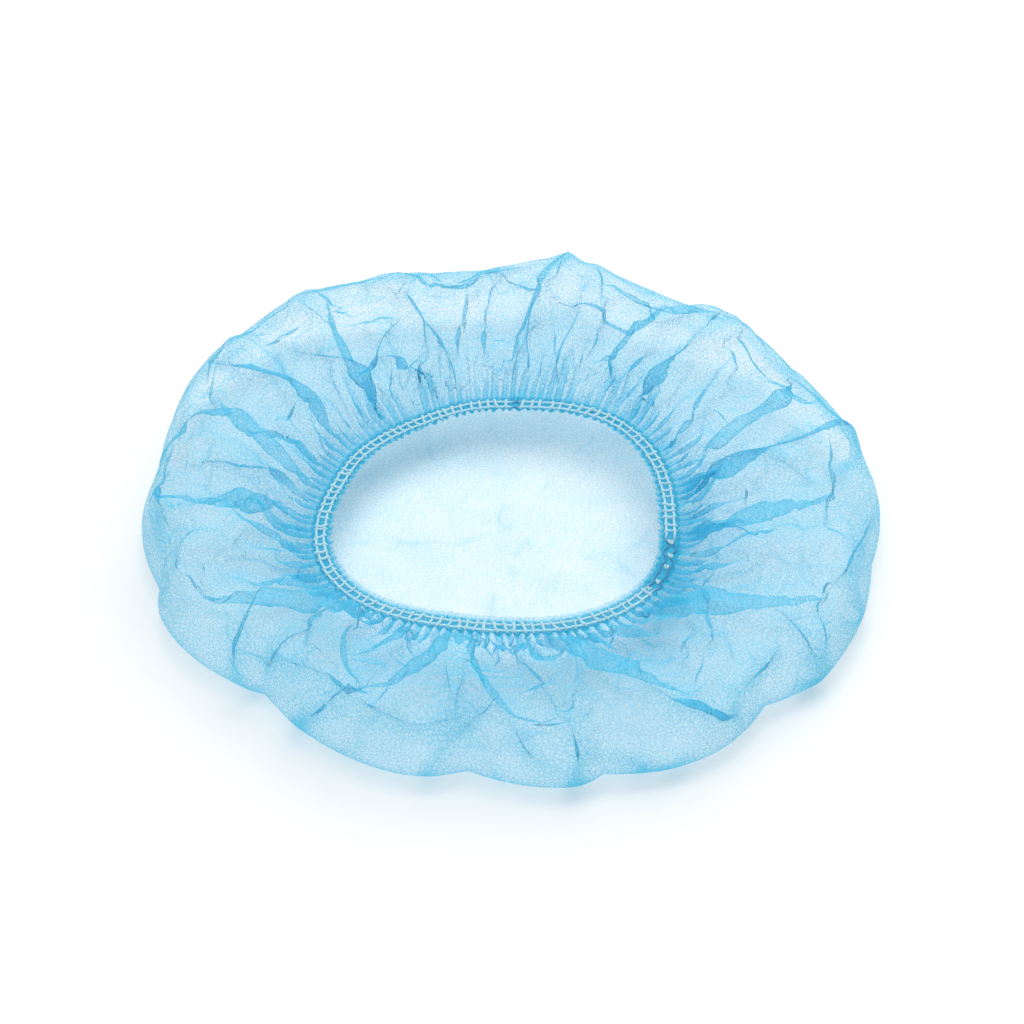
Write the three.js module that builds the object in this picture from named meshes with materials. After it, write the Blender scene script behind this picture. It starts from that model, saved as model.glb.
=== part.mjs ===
// A disposable hairnet: a bouffant cap cut as one flat disc of thin nonwoven cloth, whose edge is
// gathered onto two sewn-in elastic threads. It lies crown down, puffed up, with its opening on top.
// Millimetres, +Z up. The origin is on the surface that it lies on, under the middle of its outline.

import * as THREE from "three";

// ---- Driving dimensions ------------------------------------------------------------------------

const CLOTH_WALL = 1.0;
const CLEARANCE = 0.3;
const ELASTIC_DIAMETER = 0.9;
const ELASTIC_SPACING = 3.0;
const BAND_HEIGHT = 18;
// The top is puffed higher at the back, by this share of its height, and lower at the front.
const BACK_LIFT = 0.1;
const PLEATS = 56;
const COLUMNS = 2 * PLEATS;
const ELASTIC_SIDES = 6;

// The opening's middle, measured from the middle of the outline.
const OPENING_X = -6;
const OPENING_Y = -7.6;

const CLOTH_BLUE = 0x9cdcf2;
const ELASTIC_WHITE = 0xe6f5fb;

// The outline from above: each puffed lobe reaches out to `reach` at bearing `lobe`, and the cloth is
// drawn in to `drawn` at the bearing `notch` that follows it. Degrees from +X, counted towards +Y.
const LOBES = [
  { lobe: 2, reach: 139.9, notch: 28, drawn: 132.4 },
  { lobe: 44, reach: 134.8, notch: 56, drawn: 127.6 },
  { lobe: 79, reach: 139.6, notch: 94, drawn: 128.0 },
  { lobe: 129, reach: 145.0, notch: 143, drawn: 142.5 },
  { lobe: 147, reach: 144.5, notch: 171, drawn: 137.2 },
  { lobe: 183, reach: 140.0, notch: 198, drawn: 136.6 },
  { lobe: 204, reach: 140.6, notch: 226, drawn: 128.8 },
  { lobe: 252, reach: 137.4, notch: 263, drawn: 130.6 },
  { lobe: 279, reach: 138.9, notch: 284, drawn: 135.4 },
  { lobe: 299, reach: 141.6, notch: 313, drawn: 134.1 },
  { lobe: 325, reach: 141.6, notch: 348, drawn: 137.3 },
];

// The inner elastic from above, about the opening's middle: its widest and narrowest bearings.
const OPENING = [
  { bearing: 0, reach: 63.9 },
  { bearing: 46, reach: 67.4 },
  { bearing: 90, reach: 60.0 },
  { bearing: 121, reach: 57.6 },
  { bearing: 156, reach: 59.8 },
  { bearing: 210, reach: 67.4 },
  { bearing: 262, reach: 59.6 },
  { bearing: 326, reach: 68.9 },
];

// Sections of the crown, which lies on the surface: share of the way from the middle to the rim.
const CROWN_SECTIONS = [
  { share: 0.22, height: 0 },
  { share: 0.45, height: 0 },
  { share: 0.66, height: 0 },
  { share: 0.82, height: 0 },
  { share: 0.91, height: 1.2 },
  { share: 0.97, height: 4.2 },
];

// Sections of the puffed top: share of the way from the inner elastic to the rim. `pleat` is how far
// the gathers stand up and down from the mean height there.
const TOP_SECTIONS = [
  { share: 1.0, height: 11, pleat: 0 },
  { share: 0.985, height: 19, pleat: 0 },
  { share: 0.94, height: 28, pleat: 0 },
  { share: 0.85, height: 35.5, pleat: 0 },
  { share: 0.73, height: 39.5, pleat: 0 },
  { share: 0.6, height: 40, pleat: 0.2 },
  { share: 0.46, height: 37, pleat: 0.6 },
  { share: 0.33, height: 32, pleat: 1.0 },
  { share: 0.21, height: 25.8, pleat: 1.4 },
  { share: 0.12, height: 21.6, pleat: 1.2 },
];

// Sections of the sewn band and of the short ruffle that frills inside it: millimetres outwards from
// the inner elastic and upwards from the band.
const HEM_SECTIONS = [
  { out: 4.5, up: 0, pleat: 0 },
  { out: -1.0, up: 0, pleat: 0 },
  { out: -2.1, up: 0.5, pleat: 0.3 },
  { out: -3.5, up: 1.6, pleat: 0.8 },
];

// Main folds and dents of the puffed top. Each runs from bearing `inner` at share `from` to bearing
// `outer` at share `to`. `rise` is the height of a fold, or below zero the depth of a dent.
const FOLDS = [
  { inner: 10, outer: 14, from: 0.06, to: 0.97, rise: 5, width: 9 },
  { inner: 43, outer: 36, from: 0.14, to: 0.75, rise: 4.5, width: 9 },
  { inner: 76, outer: 49, from: 0.46, to: 0.52, rise: 3, width: 9 },
  { inner: 60, outer: 56, from: 0.55, to: 1.0, rise: -4, width: 12 },
  { inner: 86, outer: 79, from: 0.1, to: 0.85, rise: 4.5, width: 9 },
  { inner: 96, outer: 94, from: 0.4, to: 1.0, rise: -4.5, width: 12 },
  { inner: 104, outer: 112, from: 0.15, to: 0.7, rise: 4, width: 8 },
  { inner: 132, outer: 115, from: 0.3, to: 0.5, rise: 4, width: 8 },
  { inner: 131, outer: 142, from: 0.2, to: 0.6, rise: 4, width: 8 },
  { inner: 146, outer: 153, from: 0.26, to: 0.85, rise: 4.5, width: 9 },
  { inner: 160, outer: 171, from: 0.08, to: 0.9, rise: 4, width: 9 },
  { inner: 172, outer: 179, from: 0.15, to: 0.7, rise: 3, width: 8 },
  { inner: 188, outer: 197, from: 0.38, to: 0.8, rise: 3, width: 9 },
  { inner: 218, outer: 223, from: 0.5, to: 1.0, rise: -4.5, width: 13 },
  { inner: 246, outer: 240, from: 0.3, to: 0.97, rise: 5, width: 9 },
  { inner: 242, outer: 268, from: 0.88, to: 0.85, rise: 3, width: 8 },
  { inner: 262, outer: 263, from: 0.35, to: 0.9, rise: -4, width: 10 },
  { inner: 289, outer: 281, from: 0.15, to: 1.0, rise: 5, width: 9 },
  { inner: 299, outer: 296, from: 0.36, to: 0.85, rise: 3.5, width: 9 },
  { inner: 312, outer: 312, from: 0.5, to: 1.0, rise: -4, width: 12 },
  { inner: 327, outer: 322, from: 0.14, to: 0.93, rise: 4, width: 9 },
  { inner: 356, outer: 345, from: 0.06, to: 0.65, rise: 3.5, width: 9 },
];

// ---- Curves worked out from the tables ---------------------------------------------------------

const FULL_TURN = 360;

function radians(degrees) {
  return THREE.MathUtils.degToRad(degrees);
}

// The two rows of a table that a bearing lies between, and how far it is from the first to the second.
function between(rows, bearing) {
  const count = rows.length;
  for (let i = 0; i < count; i += 1) {
    const before = rows[i];
    const after = rows[(i + 1) % count];
    const span = THREE.MathUtils.euclideanModulo(after.bearing - before.bearing, FULL_TURN);
    const along = THREE.MathUtils.euclideanModulo(bearing - before.bearing, FULL_TURN);
    if (along < span) {
      return { before, after, part: along / span };
    }
  }
  throw new Error(`no rows round bearing ${bearing}`);
}

const RIM_TURNS = LOBES.flatMap(({ lobe, reach, notch, drawn }) => [
  { bearing: lobe, reach, isLobe: true },
  { bearing: notch, reach: drawn, isLobe: false },
]);

// Lobes are round on top and meet in sharp notches, as cloth does between two folds.
function rimReach(bearing) {
  const { before, after, part } = between(RIM_TURNS, bearing);
  const towardsNotch = before.isLobe;
  const [lobe, notch] = towardsNotch ? [before, after] : [after, before];
  const fromNotch = towardsNotch ? 1 - part : part;
  return notch.reach + (lobe.reach - notch.reach) * Math.sin((fromNotch * Math.PI) / 2);
}

function openingReach(bearing) {
  const { before, after, part } = between(OPENING, bearing);
  const eased = (1 - Math.cos(part * Math.PI)) / 2;
  return THREE.MathUtils.lerp(before.reach, after.reach, eased);
}

function rimPoint(bearing) {
  const reach = rimReach(bearing);
  return new THREE.Vector2(reach * Math.cos(radians(bearing)), reach * Math.sin(radians(bearing)));
}

function openingPoint(bearing, out) {
  const reach = openingReach(bearing) + out;
  const x = OPENING_X + reach * Math.cos(radians(bearing));
  const y = OPENING_Y + reach * Math.sin(radians(bearing));
  return new THREE.Vector2(x, y);
}

function topPoint(bearing, share) {
  return openingPoint(bearing, 0).lerp(rimPoint(bearing), share);
}

// ---- Folds -------------------------------------------------------------------------------------

const FOLD_LINES = FOLDS.map(({ inner, outer, from, to, rise, width }) => {
  const start = topPoint(inner, from);
  const end = topPoint(outer, to);
  return { line: new THREE.Line3(flat(start), flat(end)), rise, width };
});

function flat(point) {
  return new THREE.Vector3(point.x, point.y, 0);
}

function foldHeight(point) {
  const here = flat(point);
  const nearest = new THREE.Vector3();
  let total = 0;
  for (const { line, rise, width } of FOLD_LINES) {
    line.closestPointToPoint(here, true, nearest);
    const away = nearest.distanceTo(here) / width;
    if (away < 1) {
      total += rise * (1 - away * away) ** 2;
    }
  }
  return total;
}

// ---- The outer face of the cloth, section by section -------------------------------------------

function crownSection({ share, height }) {
  return (bearing) => {
    const point = rimPoint(bearing).multiplyScalar(share);
    return new THREE.Vector3(point.x, point.y, height);
  };
}

// Folds fade out at the rim and at the gathers, where the cloth is held.
function topSection({ share, height, pleat }) {
  const freedom = Math.sin(Math.PI * share ** 0.8);
  return (bearing, side) => {
    const point = topPoint(bearing, share);
    const puffed = height * (1 + freedom * BACK_LIFT * Math.sin(radians(bearing)));
    const fold = freedom * foldHeight(point);
    return new THREE.Vector3(point.x, point.y, puffed + fold + side * pleat);
  };
}

function hemSection({ out, up, pleat }) {
  return (bearing, side) => {
    const point = openingPoint(bearing, out);
    return new THREE.Vector3(point.x, point.y, BAND_HEIGHT + up + side * pleat);
  };
}

const SECTIONS = [
  ...CROWN_SECTIONS.map(crownSection),
  ...TOP_SECTIONS.map(topSection),
  ...HEM_SECTIONS.map(hemSection),
];

// ---- Cloth: outer face, inner face one wall inside it, and the cut edge between them ------------

function outerGrid() {
  return SECTIONS.map((section) => {
    const row = [];
    for (let column = 0; column < COLUMNS; column += 1) {
      const side = column % 2 === 0 ? 1 : -1;
      row.push(section((column * FULL_TURN) / COLUMNS, side));
    }
    return row;
  });
}

function innerGrid(outer) {
  const middle = new THREE.Vector3(0, 0, 0);
  return outer.map((row, station) => {
    const before = station > 0 ? outer[station - 1] : null;
    const after = station + 1 < outer.length ? outer[station + 1] : row;
    return row.map((point, column) => {
      const left = row[(column + COLUMNS - 1) % COLUMNS];
      const right = row[(column + 1) % COLUMNS];
      const around = new THREE.Vector3().subVectors(right, left);
      const along = new THREE.Vector3().subVectors(after[column], before ? before[column] : middle);
      const outwards = around.cross(along).normalize();
      return new THREE.Vector3().copy(point).addScaledVector(outwards, -CLOTH_WALL);
    });
  });
}

function clothGeometry() {
  const outer = outerGrid();
  const inner = innerGrid(outer);
  const rows = [...outer, ...inner.reverse()];
  const points = [new THREE.Vector3(0, 0, 0), ...rows.flat(), new THREE.Vector3(0, 0, CLOTH_WALL)];
  const last = points.length - 1;
  const index = [];
  const at = (row, column) => 1 + row * COLUMNS + (column % COLUMNS);
  for (let column = 0; column < COLUMNS; column += 1) {
    index.push(0, at(0, column + 1), at(0, column));
    index.push(last, at(rows.length - 1, column), at(rows.length - 1, column + 1));
    for (let row = 0; row + 1 < rows.length; row += 1) {
      const a = at(row, column);
      const b = at(row, column + 1);
      const c = at(row + 1, column + 1);
      const d = at(row + 1, column);
      index.push(a, b, c, a, c, d);
    }
  }
  const geometry = new THREE.BufferGeometry().setFromPoints(points);
  geometry.setIndex(index);
  geometry.computeVertexNormals();
  return geometry;
}

// ---- Elastic: a round thread following the opening, lying on the band ---------------------------

function elasticGeometry(out) {
  const radius = ELASTIC_DIAMETER / 2;
  const geometry = new THREE.TorusGeometry(1, radius, ELASTIC_SIDES, COLUMNS);
  const position = geometry.getAttribute("position");
  const height = BAND_HEIGHT + CLEARANCE + radius;
  for (let i = 0; i < position.count; i += 1) {
    const x = position.getX(i);
    const y = position.getY(i);
    const bearing = THREE.MathUtils.radToDeg(Math.atan2(y, x));
    const point = openingPoint(bearing, out + Math.hypot(x, y) - 1);
    position.setXYZ(i, point.x, point.y, height + position.getZ(i));
  }
  geometry.computeVertexNormals();
  return geometry;
}

// ---- The assembly ------------------------------------------------------------------------------

function piece(name, geometry, color, roughness) {
  const material = new THREE.MeshStandardMaterial({ color, roughness, metalness: 0 });
  const mesh = new THREE.Mesh(geometry, material);
  mesh.name = name;
  return mesh;
}

const hairnet = new THREE.Group();
hairnet.add(piece("cap_cloth", clothGeometry(), CLOTH_BLUE, 0.9));
hairnet.add(piece("elastic_inner", elasticGeometry(0), ELASTIC_WHITE, 0.7));
hairnet.add(piece("elastic_outer", elasticGeometry(ELASTIC_SPACING), ELASTIC_WHITE, 0.7));

export default hairnet;
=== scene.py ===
# %% [markdown]
# # A disposable hairnet
# The real thing is one disc of thin light blue nonwoven cloth, a little over half a metre across. Its
# edge is gathered about four times over and sewn, with a short ruffle left inside the seam, onto two
# stretched elastic threads. Let go, it lies crown down like a puffed ring round a small opening.
# The shape could be pure cloth simulation, but then the folds land where they like. Here the cap is a
# grid bent to drawn sections. Its main folds are laid along chosen lines, and the rest buckle freely.

# %% Load the frame
import math

import bpy
import numpy as np
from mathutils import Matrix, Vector


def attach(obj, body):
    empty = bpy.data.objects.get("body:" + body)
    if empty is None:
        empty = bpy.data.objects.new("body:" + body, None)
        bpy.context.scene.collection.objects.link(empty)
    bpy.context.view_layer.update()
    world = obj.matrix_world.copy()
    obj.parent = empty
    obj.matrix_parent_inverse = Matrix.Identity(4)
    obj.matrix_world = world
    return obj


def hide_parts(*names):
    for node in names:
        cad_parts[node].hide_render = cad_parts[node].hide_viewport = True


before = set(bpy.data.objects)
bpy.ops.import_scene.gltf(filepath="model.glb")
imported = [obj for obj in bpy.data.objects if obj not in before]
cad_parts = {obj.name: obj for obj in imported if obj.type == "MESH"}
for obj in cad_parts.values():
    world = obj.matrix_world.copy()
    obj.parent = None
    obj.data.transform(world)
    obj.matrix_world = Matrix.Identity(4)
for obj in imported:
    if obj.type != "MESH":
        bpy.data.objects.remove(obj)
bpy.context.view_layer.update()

MM = 0.001
scene = bpy.context.scene

# %% [markdown]
# ## Camera, floor and light
# A product shot: the camera looks down at 43 degrees through a long lens, from a bit over a metre, so
# the ring of cloth is hardly distorted. A pale floor and a white sky wash out the background. One big
# soft lamp behind on the right rakes over the folds and shines through the cloth, and a weaker one in
# front on the left keeps the near side from going dark.

# %% Camera
VIEW_ELEVATION = 43
VIEW_DISTANCE = 1.15
LENS_MM = 106.9
AIM = Vector((0.1, -4.0, 15.0)) * MM


def place_camera():
    slope = math.radians(VIEW_ELEVATION)
    back = Vector((0, -math.cos(slope), math.sin(slope)))
    camera = bpy.data.objects.new("camera", bpy.data.cameras.new("camera"))
    camera.data.lens = LENS_MM
    camera.data.sensor_width = 36
    camera.data.clip_end = 20
    camera.location = AIM + back * VIEW_DISTANCE
    camera.rotation_euler = back.to_track_quat("Z", "Y").to_euler()
    scene.collection.objects.link(camera)
    scene.camera = camera
    return camera


camera = place_camera()
print("camera at", [round(v, 3) for v in camera.location])

# %% Floor and lamps
FLOOR_WHITE = (0.86, 0.86, 0.86, 1)
FLOOR_DROP = 0.2 * MM
SKY_STRENGTH = 0.48


def lay_floor():
    half = 4.0
    mesh = bpy.data.meshes.new("floor")
    corners = [(-half, -half, 0), (half, -half, 0), (half, half, 0), (-half, half, 0)]
    mesh.from_pydata(corners, [], [(0, 1, 2, 3)])
    floor = bpy.data.objects.new("floor", mesh)
    floor.location.z = -FLOOR_DROP
    paint = bpy.data.materials.new("pale_floor")
    paint.use_nodes = True
    shader = paint.node_tree.nodes["Principled BSDF"]
    shader.inputs["Base Color"].default_value = FLOOR_WHITE
    shader.inputs["Roughness"].default_value = 0.9
    shader.inputs["Specular IOR Level"].default_value = 0.1
    mesh.materials.append(paint)
    scene.collection.objects.link(floor)


def hang_lamp(name, place, size, power):
    lamp = bpy.data.lights.new(name, "AREA")
    lamp.shape = "DISK"
    lamp.size = size
    lamp.energy = power
    holder = bpy.data.objects.new(name, lamp)
    holder.location = place
    holder.rotation_euler = Vector(place).to_track_quat("Z", "Y").to_euler()
    scene.collection.objects.link(holder)


def light_sky():
    sky = bpy.data.worlds.new("studio_white")
    sky.use_nodes = True
    sky.node_tree.nodes["Background"].inputs["Color"].default_value = (1, 1, 1, 1)
    sky.node_tree.nodes["Background"].inputs["Strength"].default_value = SKY_STRENGTH
    scene.world = sky


lay_floor()
light_sky()
hang_lamp("key", (0.5, 0.66, 1.58), 2.0, 22)
hang_lamp("fill", (-0.4, -0.5, 1.6), 1.6, 11.5)
scene.view_settings.view_transform = "Standard"
scene.cycles.transparent_max_bounces = 24

# %% [markdown]
# ## The shape of the cap
# The cap is worked out from three short tables: how far each puffed lobe of the outline reaches, how
# wide the gathered opening is at each bearing, and how high the cloth stands on its way from the
# crown's middle, out over the rim and back in to the opening. Bearings are degrees from +X.

# %% Tables of the outline, the opening and the sections
LOBES = [  # bearing of a lobe, its reach, bearing of the notch after it, reach there (mm)
    (2, 139.9, 28, 132.4), (44, 134.8, 56, 127.6), (79, 139.6, 94, 128.0), (129, 145.0, 143, 142.5),
    (147, 144.5, 171, 137.2), (183, 140.0, 198, 136.6), (204, 140.6, 226, 128.8),
    (252, 137.4, 263, 130.6), (279, 138.9, 284, 135.4), (299, 141.6, 313, 134.1),
    (325, 141.6, 348, 137.3),
]
OPENING = [  # bearing, reach of the inner elastic from the opening's middle (mm)
    (0, 63.9), (46, 67.4), (90, 60.0), (121, 57.6), (156, 59.8), (210, 67.4), (262, 59.6),
    (326, 68.9),
]
STRAIGHT = (28, 143)  # bearings between which the rim runs straight from corner to corner
OPENING_MIDDLE = (-6.0, -7.6)
BACK_LIFT = 0.1
SECTIONS = [  # share of the rim, share of the opening, mm out of the opening, height
    (0.0, 0.0, 0.0, 0.4), (0.22, 0.0, 0.0, 0.4), (0.45, 0.0, 0.0, 0.4), (0.66, 0.0, 0.0, 0.4),
    (0.82, 0.0, 0.0, 0.5), (0.91, 0.0, 0.0, 1.7), (0.97, 0.0, 0.0, 4.6), (1.0, 0.0, 0.0, 11.0),
    (0.985, 0.015, 0.0, 19.0), (0.94, 0.06, 0.0, 28.0), (0.85, 0.15, 0.0, 35.5),
    (0.73, 0.27, 0.0, 39.5), (0.6, 0.4, 0.0, 40.0), (0.46, 0.54, 0.0, 37.0),
    (0.33, 0.67, 0.0, 32.0), (0.21, 0.79, 0.0, 25.8), (0.12, 0.88, 0.0, 21.6),
    (0.0, 1.0, 4.2, 18.0), (0.0, 1.0, 1.5, 18.0), (0.0, 1.0, -0.8, 18.0), (0.0, 1.0, -2.4, 19.8),
]


def eased(rows, bearing, shape):
    rows = sorted(rows)
    angles = np.array([rows[-1][0] - 360] + [row[0] for row in rows] + [rows[0][0] + 360], float)
    values = np.array([rows[-1][1]] + [row[1] for row in rows] + [rows[0][1]])
    place = np.searchsorted(angles, bearing, side="right") - 1
    part = (bearing - angles[place]) / (angles[place + 1] - angles[place])
    return values[place] + (values[place + 1] - values[place]) * shape(part, place)


def ramp(value, low, high):
    t = np.clip((value - low) / (high - low), 0, 1)
    return t * t * (3 - 2 * t)


def opening_reach(bearing):
    return eased(OPENING, bearing % 360, lambda part, place: (1 - np.cos(np.pi * part)) / 2)


# Lobes are round on top and meet in sharp notches, but at the far side the rim is drawn straight from
# one corner to the next.
def rim_reach(bearing):
    turns = [(lobe, reach) for lobe, reach, _, _ in LOBES]
    turns += [(notch, drawn) for _, _, notch, drawn in LOBES]
    lobe_angles = {row[0] for row in LOBES}
    ordered = sorted(turns)
    starts = np.array([ordered[-1][0]] + [turn[0] for turn in ordered])
    at_lobe = np.isin(starts, list(lobe_angles))
    straight = (starts >= STRAIGHT[0]) & (starts < STRAIGHT[1])

    def shape(part, place):
        slow = 1 - np.cos(np.pi / 2 * part)
        quick = np.sin(np.pi / 2 * part)
        return np.where((at_lobe ^ straight)[place], slow, quick)

    return eased(turns, bearing % 360, shape)


print("rim reach at 2, 56, 129, 263:", rim_reach(np.array([2.0, 56, 129, 263])))

# %% The bare sheet as a grid: columns round the cap, rows from the crown's middle to the hem
COLUMNS = 720
ROWS_BETWEEN = np.array([4, 4, 4, 4, 4, 4, 4, 4, 6, 11, 11, 11, 11, 11, 11, 11, 10, 4, 4, 6])


def row_places(coarser):
    counts = np.maximum(ROWS_BETWEEN // coarser, 1)
    steps = [np.arange(count) / count + index for index, count in enumerate(counts)]
    return np.concatenate(steps + [[len(SECTIONS) - 1.0]])


# A smooth curve through the sections, read off at each row's place.
def rows_at(places):
    table = np.array(SECTIONS)
    padded = np.vstack([2 * table[0] - table[1], table, 2 * table[-1] - table[-2]])
    index = np.minimum(places.astype(int), len(table) - 2)
    t = (places - index)[:, None]
    p0, p1, p2, p3 = (padded[index + k] for k in range(4))
    half = (p2 - p0) / 2
    other = (p3 - p1) / 2
    return (2 * t**3 - 3 * t**2 + 1) * p1 + (t**3 - 2 * t**2 + t) * half \
        + (3 * t**2 - 2 * t**3) * p2 + (t**3 - t**2) * other


def bare_sheet(places, columns):
    rows = rows_at(places)
    bearings = np.arange(columns) * 360 / columns
    turn = np.radians(bearings)
    ray = np.stack([np.cos(turn), np.sin(turn)], 1)
    rim = rim_reach(bearings)[:, None] * ray
    opening = np.array(OPENING_MIDDLE) + opening_reach(bearings)[:, None] * ray
    sheet = np.empty((len(rows), columns, 3))
    sheet[..., :2] = rows[:, 0, None, None] * rim + rows[:, 1, None, None] * opening \
        + rows[:, 2, None, None] * ray
    top_share = np.where(rows[:, 1] > 0, rows[:, 0], 0)
    lift = BACK_LIFT * np.sin(np.pi * np.clip(top_share, 0, 1) ** 0.8)[:, None] * np.sin(turn)
    sheet[..., 2] = rows[:, 3, None] * (1 + lift)
    return sheet


places = row_places(1)
print("rows:", len(places), "triangles:", COLUMNS * (2 * len(places) - 3))

# %% [markdown]
# ## Main folds
# The folds that the eye picks out are creases where the cloth doubles back over itself: three layers
# deep, so darker, with a crisp edge on either side. Each is laid along its own line. Across that line
# the cloth is pinched until it overlaps, one lip lifts over the other, and the whole fold stands up a
# little. A line may run on past the rim: the outer wall is laid out flat beside the top to follow it.

# %% Table of the main folds
# Each row has overlap and height in mm, then the fold's way as bearing and share of the top: 0 at the
# opening, 1 at the rim, and past 1 down the outer wall.
FOLDS = [
    (2.5, 3, [(73, 0.48), (63, 0.47), (52, 0.49), (46, 0.72)]),
    (2.0, 3, [(61, 0.74), (57, 0.6), (52, 0.5)]),
    (3.5, 5, [(45, 0.08), (45, 0.25), (42, 0.4), (40, 0.58), (34, 0.74)]),
    (2.0, 3, [(45, 0.78), (42, 0.55)]),
    (2.5, 4, [(28, 0.9), (22, 0.72), (16, 0.56), (15, 0.42)]),
    (1.8, 3, [(56, 0.15), (51, 0.32), (46, 0.46)]),
    (2.2, 4, [(285, 0.39), (283, 0.66), (280, 0.84), (280, 0.97), (280, 1.3)]),
    (1.5, 3, [(276, 0.38), (277, 0.68), (278, 0.88), (279, 1.0), (279, 1.3)]),
    (2.2, 4, [(301, 0.28), (292, 0.7), (294, 0.83), (300, 0.94), (306, 1.08)]),
    (2.5, 3, [(280, 0.99), (286, 1.1), (291, 1.18), (294, 1.25)]),
    (2.5, 4, [(294, 0.88), (300, 0.93), (306, 1.13)]),
    (2.8, 4, [(317, 0.9), (313, 0.96), (303, 0.95)]),
    (3.0, 4, [(326, 0.2), (315, 0.55), (318, 0.67), (320, 0.82), (321, 1.0), (322, 1.3)]),
    (2.2, 3, [(328, 0.8), (324, 1.0), (323, 1.3)]),
    (3.0, 3, [(317, 0.4), (308, 0.72)]),
    (5.5, 4, [(154, 0.9), (152, 0.6), (150, 0.42), (148, 0.22)]),
    (2.8, 4, [(144, 0.62), (139, 0.43), (133, 0.31), (130, 0.2)]),
    (2.0, 3, [(115, 0.52), (121, 0.38), (127, 0.3)]),
    (1.8, 3, [(133, 0.8), (134, 0.6), (133, 0.35)]),
    (2.2, 3, [(114, 0.82), (108, 0.62), (103, 0.55)]),
    (3.2, 3, [(107, 0.58), (99, 0.59), (93, 0.67), (86, 0.59), (79, 0.5)]),
    (2.8, 5, [(112, 0.6), (109, 0.41), (106, 0.27), (104, 0.12)]),
    (1.8, 3, [(93, 0.62), (94, 0.44), (95, 0.2)]),
    (4.5, 4, [(80, 0.55), (82, 0.36), (84, 0.12)]),
    (2.0, 3, [(76, 0.42), (75, 0.27), (71, 0.12)]),
    (2.2, 3, [(79, 0.88), (78, 0.6), (79, 0.5)]),
    (2.0, 3, [(78, 0.45), (72, 0.44), (66, 0.46)]),
    (3.5, 4, [(131, 0.32), (122, 0.29), (115, 0.22), (108, 0.06)]),
    (1.8, 3, [(132, 0.28), (131, 0.1)]),
    (2.8, 4, [(174, 0.98), (171, 0.8), (169, 0.6), (162, 0.35), (162, 0.2)]),
    (3.0, 4, [(180, 0.74), (179, 0.49), (176, 0.2)]),
    (3.0, 4, [(183, 0.9), (191, 0.84), (198, 0.88)]),
    (2.6, 4, [(184, 0.25), (189, 0.42), (194, 0.58), (195, 0.8)]),
    (2.0, 3, [(198, 0.75), (205, 0.9)]),
    (3.2, 5, [(215, 0.4), (220, 0.7), (221, 0.85), (221, 1.0), (222, 1.3)]),
    (3.5, 4, [(10, 0.1), (4, 0.4), (5, 0.65), (12, 0.92), (14, 1.2)]),
    (2.2, 4, [(4, 0.08), (3, 0.25), (1, 0.48), (356, 0.65), (352, 0.8)]),
    (3.5, 4, [(353, 0.06), (344, 0.28), (339, 0.46), (342, 0.62)]),
    (2.0, 3, [(345, 0.3), (347, 0.53), (347, 0.76)]),
    (3.0, 4, [(356, 1.0), (348, 0.95), (338, 0.89), (332, 0.88)]),
    (2.0, 3, [(334, 0.88), (336, 1.06), (337, 1.3)]),
    (3.6, 5, [(246, 0.22), (246, 0.6), (244, 0.84), (240, 0.98), (236, 1.2)]),
    (2.8, 4, [(242, 0.92), (249, 0.9), (255, 0.92), (260, 0.91), (266, 0.87), (269, 0.7)]),
    (2.4, 4, [(258, 0.35), (259, 0.72), (260, 0.84), (261, 0.9)]),
    (2.4, 3, [(262, 0.46), (262, 0.73), (262, 0.83), (266, 0.85)]),
    (2.4, 4, [(268, 0.84), (271, 0.92), (274, 1.04), (278, 1.15)]),
    (2.2, 3, [(267, 0.88), (261, 1.0), (258, 1.14), (257, 1.3)]),
    (2.2, 4, [(228, 0.3), (231, 0.6), (229, 0.9), (227, 1.15)]),
    (2.0, 3, [(221, 0.95), (228, 0.94), (236, 0.87), (244, 0.84)]),
    (2.0, 3, [(182, 0.8), (190, 0.9), (198, 0.95), (200, 1.15)]),
]
TAUT = 0.8  # share of the far rim's wrinkles that is pulled out
TUCKED = 0.75  # share of a fold's overlap that is laid
LIP = 0.5  # how far one lip lifts over the other, mm
RIDGE = 0.6  # share of a fold's height that the bare shape rises by
RIDGE_WIDTH = 6.5
RIM_PLACE = 8.8


# %% A fold's line, and how far every point of the sheet lies to its side
def top_point(bearing, share):
    turn = np.radians(bearing)
    ray = np.array([np.cos(turn), np.sin(turn)])
    opening = np.array(OPENING_MIDDLE) + opening_reach(np.array([bearing % 360.0]))[0] * ray
    return opening * (1 - share) + rim_reach(np.array([bearing % 360.0]))[0] * ray * share


# Points bent smoothly through the ones that a table gives.
def smooth_line(corners, count=30):
    corners = np.array(corners, float)
    padded = np.vstack([2 * corners[0] - corners[1], corners, 2 * corners[-1] - corners[-2]])
    at = np.linspace(0, len(corners) - 1, count)
    index = np.minimum(at.astype(int), len(corners) - 2)
    t = (at - index)[:, None]
    p0, p1, p2, p3 = (padded[index + k] for k in range(4))
    return p1 + t / 2 * (p2 - p0 + t * (2 * p0 - 5 * p1 + 4 * p2 - p3 + t * (3 * (p1 - p2) + p3 - p0)))


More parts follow.
